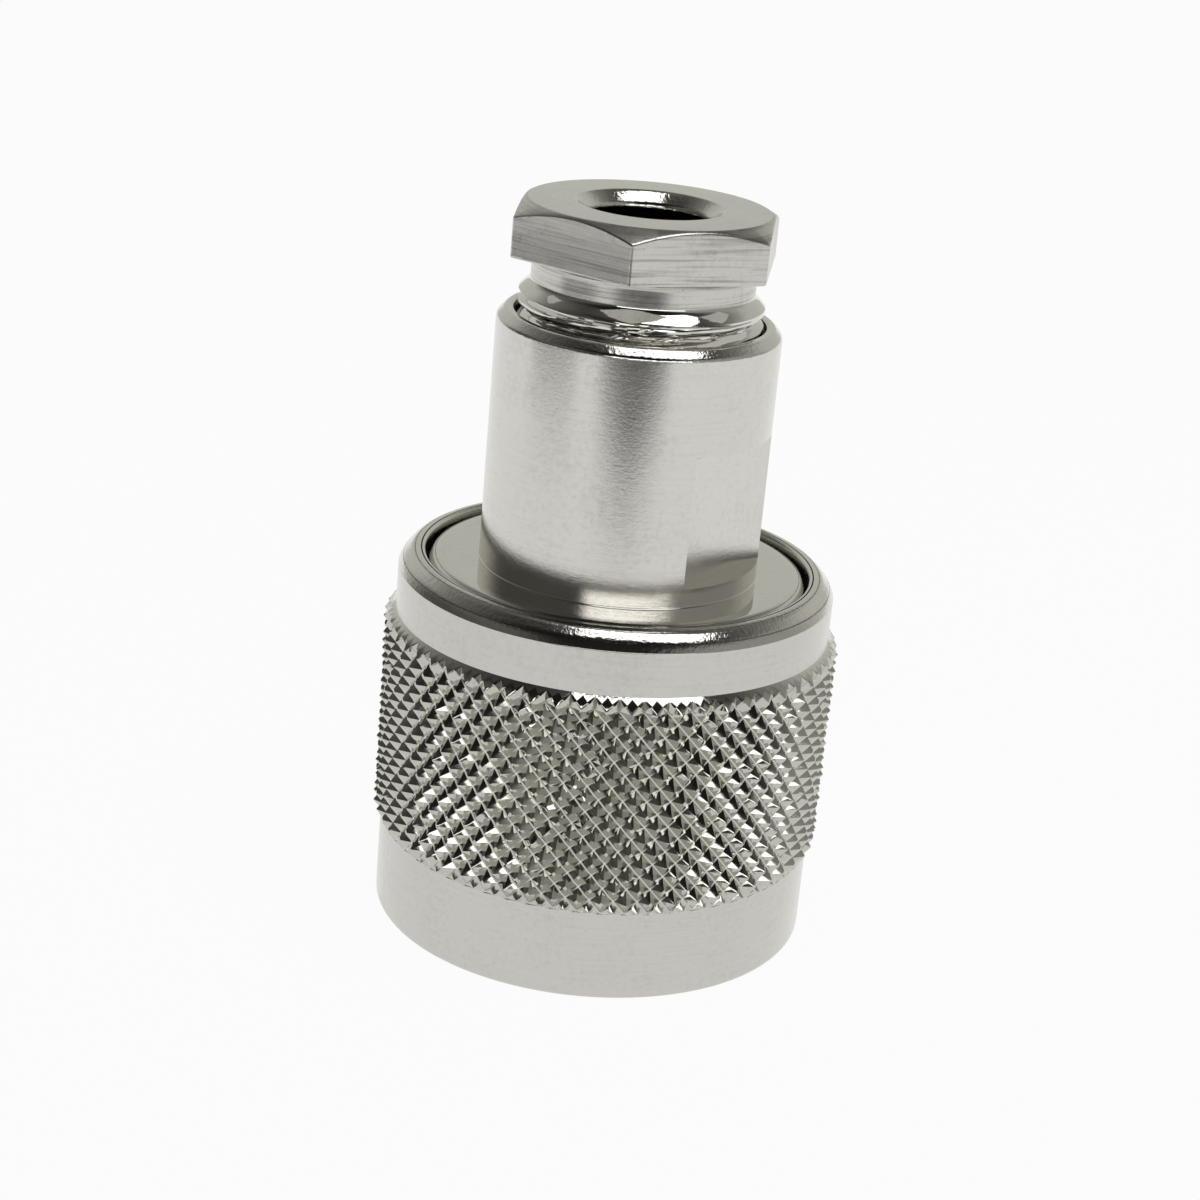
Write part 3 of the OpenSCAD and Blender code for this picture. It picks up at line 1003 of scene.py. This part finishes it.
@dataclass
class Gasket:
    """The rubber ring that the clamp nut squeezes on to the cable, sizes in mm.

    Attributes:
        bore_r: Radius of its bore.
        outer_r: Its outer radius.
        front: Height of the end that rests on the braid clamp.
        rear: Height of the end under the slip washer.
        groove: Depth and half width of the V groove in the front end.
        squeezed: Length left when the nut is screwed right in. Not used.
        columns: Points round the ring.
    """

    bore_r: float = 2.5
    outer_r: float = 4.65
    front: float = 19.4
    rear: float = 24.8
    groove: float = 0.65
    squeezed: float = 3.2
    columns: int = 96

    def build(self) -> Object:
        """Builds the ring as one closed skin round its outline."""
        middle = (self.bore_r + self.outer_r) / 2
        corners = [
            (self.outer_r, self.front, 0.12),
            (self.outer_r, self.rear, 0.12),
            (self.bore_r, self.rear, 0.30),
            (self.bore_r, self.front, 0.12),
            (middle - self.groove, self.front, 0.05), (middle, self.front + self.groove, 0.05),
            (middle + self.groove, self.front, 0.05),
        ]
        outline = profile(corners)
        angle = np.arange(self.columns) * 2 * math.pi / self.columns
        points = turned(outline[:, :1], outline[:, 1:], angle[None, :])
        return mesh_piece("rubber_gasket", points, [ring_quads(len(outline), self.columns)])

    def dress(self, finishes: Finishes) -> None:
        """Builds the ring, mounts it on the body and gives it a mesh of its own."""
        ring = dress(self.build(), finishes.black_rubber)
        mount(ring, "body", "clamp_gasket")
        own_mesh(ring)


# ---- solids


@dataclass
class Solids:
    """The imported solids, which show where no finer piece stands for them.

    Attributes:
        names: Names of the solids in each material slot, whose plain finish they get.
    """

    names: dict[Slot, tuple[str, ...]] = field(
        default_factory=lambda: {
            Slot.NICKEL: ("coupling_nut", "body", "clamp_nut", "braid_clamp", "slip_washer"),
            Slot.SPRING_BRONZE: ("retaining_ring",),
            Slot.WHITE_BRONZE: ("outer_contact",),
            Slot.GOLD: ("centre_contact",),
            Slot.PTFE: ("front_insulator", "rear_insulator"),
            Slot.SILICONE: ("interface_seal",),
            Slot.RUBBER: ("clamp_gasket",),
        }
    )

    def dress(self, finishes: Finishes) -> None:
        """Gives every solid its finish."""
        for slot, names in self.names.items():
            for name in names:
                dress(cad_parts[name], getattr(finishes, slot.value))
                log.info("%s: solid in %s", name, slot.value)


# ---- studio


@dataclass
class Studio:
    """Camera, lamps, floor and surroundings.

    Angles are in degrees and are measured from the camera's own direction,
    positive to its right; sizes are in metres.

    Attributes:
        azimuth: Direction of the camera about the plug.
        elevation: Height of the camera over the horizon.
        distance: Distance of the camera from its target.
        target: Height of the camera's target on the axis.
        lens: Focal length in mm.
        roll: Turn of the camera about its own axis.
        shift: Shift of the lens, across and up.
        floor_reach: Half the floor's side.
        floor_drop: How far the floor lies under the plug.
        floor_white: Share of pure white in the floor that camera and gloss see.
        blue: Blue in the greys of the surroundings, as a share of red and green.
    """

    azimuth: float = 32.3
    elevation: float = 20.5
    distance: float = 0.1138
    target: float = 0.014
    lens: float = 74.04
    roll: float = 5.29
    shift: tuple[float, float] = (-0.0098, 0.0196)
    floor_reach: float = 3.0
    floor_drop: float = 0.00002
    floor_white: float = 0.95
    blue: float = 0.92

    def towards(self, across: float, up: float) -> Vector:
        """Direction from the plug, to the camera's right and up from the horizon."""
        a, e = math.radians(self.azimuth + across), math.radians(up)
        return Vector((math.sin(a) * math.cos(e), -math.cos(a) * math.cos(e), math.sin(e)))

    def build_camera(self) -> None:
        """Makes the camera."""
        data = bpy.data.cameras.new("camera")
        data.lens, data.sensor_width = self.lens, 36.0
        data.shift_x, data.shift_y = self.shift
        data.clip_start, data.clip_end = 0.005, 20.0
        camera = bpy.data.objects.new("camera", data)
        bpy.context.scene.collection.objects.link(camera)
        target = Vector((0, 0, self.target))
        back = self.towards(0, self.elevation)
        roll = Matrix.Rotation(math.radians(self.roll), 3, "Z")
        turn = (back.to_track_quat("Z", "Y").to_matrix() @ roll).to_4x4()
        camera.matrix_world = Matrix.Translation(target + back * self.distance) @ turn
        bpy.context.scene.camera = camera

    def lamp(
        self,
        name: str,
        place: Sequence[float],
        size: Sequence[float],
        radiance: float,
        tilt: float,
    ) -> None:
        """Makes a softbox whose long side is level with the camera's.

        Args:
            name: Name of the lamp.
            place: Its middle: to the camera's right, towards the camera, and up.
            size: Its width and height.
            radiance: Brightness of its face, where 1 is white.
            tilt: Height in degrees from which it shines, 90 for straight down.
        """
        data = bpy.data.lights.new(name, "AREA")
        data.shape = "RECTANGLE"
        data.size, data.size_y = size
        data.energy = radiance * math.pi * size[0] * size[1]
        lamp = bpy.data.objects.new(name, data)
        bpy.context.scene.collection.objects.link(lamp)
        right, back = self.towards(90, 0), self.towards(0, tilt)
        turn = Matrix((right, back.cross(right), back)).transposed().to_4x4()
        middle = right * place[0] + self.towards(0, 0) * place[1] + Vector((0, 0, place[2]))
        lamp.matrix_world = Matrix.Translation(middle) @ turn
        lamp.visible_camera = False

    def build_floor(self) -> None:
        """Makes the floor, which camera and gloss see as white with a faint shadow."""
        recipe = Recipe("pale_floor")
        recipe.set(Base_Color=(0.9, 0.9, 0.9, 1.0), Roughness=0.9)
        glow = recipe.add("ShaderNodeEmission", {"Color": (1, 1, 1, 1), "Strength": 1.0})
        rays = recipe.add("ShaderNodeLightPath").outputs
        seen = recipe.math("MAXIMUM", rays["Is Camera Ray"], rays["Is Glossy Ray"])
        seen = recipe.math("MAXIMUM", seen, rays["Is Transmission Ray"])
        amount = recipe.math("MULTIPLY", seen, self.floor_white)
        shaders = {0: amount, 1: recipe.shader.outputs[0], 2: glow.outputs[0]}
        mix = recipe.add("ShaderNodeMixShader", shaders)
        output = next(n for n in recipe.tree.nodes if n.type == "OUTPUT_MATERIAL")
        recipe.tree.links.new(mix.outputs[0], output.inputs["Surface"])
        unit = np.array([[-1, -1, 0], [1, -1, 0], [1, 1, 0], [-1, 1, 0]])
        floor = mesh_piece("floor", unit * self.floor_reach / MM, [np.array([[0, 1, 2, 3]])])
        floor.location.z = -self.floor_drop
        dress(floor, recipe.material)

    def build_shade_card(
        self, name: str, grey: float, across: Sequence[float], far: Sequence[float]
    ) -> None:
        """Lays a dark card on the floor, which only gloss sees: a painted shade that the metal
        reflects.

        Args:
            name: Name of the card.
            grey: Its colour.
            across: Direction of each corner, counterclockwise from above.
            far: Distance of each corner from the axis in mm.
        """
        recipe = Recipe(name)
        recipe.set(Base_Color=(grey, grey, grey, 1.0), Roughness=0.8)
        angle = np.radians(self.azimuth + np.asarray(across) - 90)
        points = turned(np.asarray(far), np.full(len(far), 0.3), angle)
        card = mesh_piece(name, points, [np.arange(len(far))[None, :]])
        dress(card, recipe.material)
        card.visible_camera = False
        card.visible_shadow = False
        card.visible_diffuse = False

    def build_world(self) -> None:
        """Surrounds the plug with soft greys by height, and white for the camera."""
        world = bpy.data.worlds.new("studio")
        world.use_nodes = True
        bpy.context.scene.world = world
        nodes = Nodes(world.node_tree)
        nodes.tree.nodes.clear()
        coord = nodes.add("ShaderNodeTexCoord").outputs["Generated"]
        height = nodes.add("ShaderNodeSeparateXYZ", {0: coord}).outputs["Z"]

        def ramp(*stops: tuple[float, float]) -> Socket:
            """Grey by the sine of the height over the horizon."""
            node = nodes.add("ShaderNodeValToRGB", {0: height})
            elements = node.color_ramp.elements
            elements[0].position, elements[1].position = stops[0][0], stops[-1][0]
            for where, _ in stops[1:-1]:
                elements.new(where)
            for element, (_, grey) in zip(elements, stops):
                element.color = (grey, grey, self.blue * grey, 1)
            return node.outputs[0]

        def side(across: float, low: float, high: float) -> Socket:
            """Goes from 0 to 1 as the cosine to a level direction goes from low to high."""
            inputs = {0: coord, 1: self.towards(across, 0)}
            level = nodes.add("ShaderNodeVectorMath", inputs, operation="DOT_PRODUCT")
            cosine = level.outputs["Value"]
            return nodes.spread(cosine, low, high, 0.0, 1.0, interpolation_type="SMOOTHSTEP")

        behind = ramp((0.0, 0.62), (0.45, 0.58), (0.62, 0.28), (0.85, 0.10), (1.0, 0.20))
        front = ramp(
            (0.0, 0.20), (0.12, 0.05), (0.50, 0.015), (0.88, 0.015), (0.97, 0.10), (1.0, 0.20)
        )
        right = ramp((0.0, 0.42), (0.55, 0.34), (0.75, 0.05), (0.90, 0.03), (1.0, 0.20))
        left = ramp(
            (0.0, 0.16), (0.30, 0.08), (0.55, 0.14), (0.75, 0.03), (0.90, 0.03), (1.0, 0.20)
        )
        grey = nodes.blend(side(0, -0.25, 0.35), behind, front)
        grey = nodes.blend(side(75, 0.45, 0.85), grey, right)
        grey = nodes.blend(side(-80, 0.45, 0.85), grey, left)
        shade = nodes.add("ShaderNodeBackground", {0: grey})
        white = nodes.add("ShaderNodeBackground", {0: (1, 1, 1, 1)})
        camera = nodes.add("ShaderNodeLightPath").outputs["Is Camera Ray"]
        shaders = {0: camera, 1: shade.outputs[0], 2: white.outputs[0]}
        mix = nodes.add("ShaderNodeMixShader", shaders)
        nodes.add("ShaderNodeOutputWorld", {0: mix.outputs[0]})

    def build(self) -> None:
        """Builds the whole studio."""
        bpy.context.scene.view_settings.view_transform = "Standard"
        self.build_camera()
        self.build_world()
        self.build_floor()
        corners = (-5, 5, 25, 30, -30, -25), (84, 84, 118, 330, 330, 118)
        # Painted shadow of the camera on the floor in front, seen only in reflections
        self.build_shade_card("painted_camera_shadow", 0.02, *corners)
        # Painted shade to the left, seen only in reflections
        self.build_shade_card("painted_left_shade", 0.05, (-88, -46, -46, -88), (124, 124, 210, 210))
        self.lamp("overhead", (0.108, 0.09, 0.52), (0.41, 0.19), 2.8, 90)
        self.lamp("front_strip", (0.16, 0.56, 0.21), (0.82, 0.11), 2.6, 20)


def main() -> None:
    """Builds the plug and its studio."""
    logging.basicConfig(level=logging.INFO, format="%(message)s")
    finishes = Finishes()
    Solids().dress(finishes)
    CouplingNut().dress(finishes)
    PlugBody().dress(finishes)
    ClampNut().dress(finishes)
    Gasket().dress(finishes)
    Studio().build()


if __name__ == "__main__":
    main()
